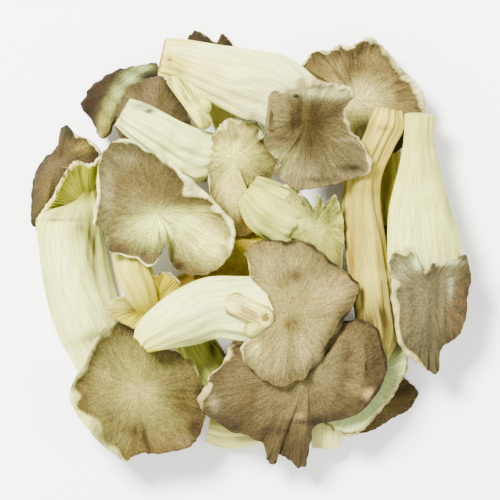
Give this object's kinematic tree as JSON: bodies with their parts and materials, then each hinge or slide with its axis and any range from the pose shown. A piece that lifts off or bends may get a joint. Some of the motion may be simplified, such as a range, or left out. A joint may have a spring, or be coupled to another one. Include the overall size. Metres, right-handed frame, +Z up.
{
  "type": "oyster mushroom cluster",
  "caption": "Heap of cut oyster mushrooms, with fan-shaped grey-brown caps, gills and thick pale stems, resting on a table.",
  "frame": {"origin": "middle of the heap's outline, on the table", "axes": "+Z up from the table, +X to the right and +Y to the back of the heap as seen from above"},
  "size_m": [0.1906, 0.1896, 0.0517],
  "materials": {
    "brown_cap": "matte",
    "grey_cap": "matte",
    "beige_cap": "matte",
    "cream_flesh": "matte",
    "yellow_flesh": "matte"
  },
  "bodies": {
    "root": {"low_cap_back_left": "brown_cap", "low_cap_back": "brown_cap", "low_cap_front_right": "brown_cap", "low_cap_middle": "yellow_flesh", "low_stem_front": "cream_flesh", "low_stem_bottom": "cream_flesh", "low_stem_front_right": "cream_flesh", "low_stem_right": "cream_flesh", "gilled_cap_left": "cream_flesh", "cap_back_right": "beige_cap", "cap_behind_left": "brown_cap", "mid_left_of_centre": "beige_cap", "yellow_stem_right": "yellow_flesh", "cap_front_left": "beige_cap", "cap_front": "grey_cap", "small_gilled": "yellow_flesh", "torn_centre": "cream_flesh", "stem_and_cap_right": "cream_flesh", "big_cap_left": "beige_cap", "stem_and_cap_centre": "grey_cap", "stem_and_cap_top": "grey_cap"}
  },
  "joints": []
}
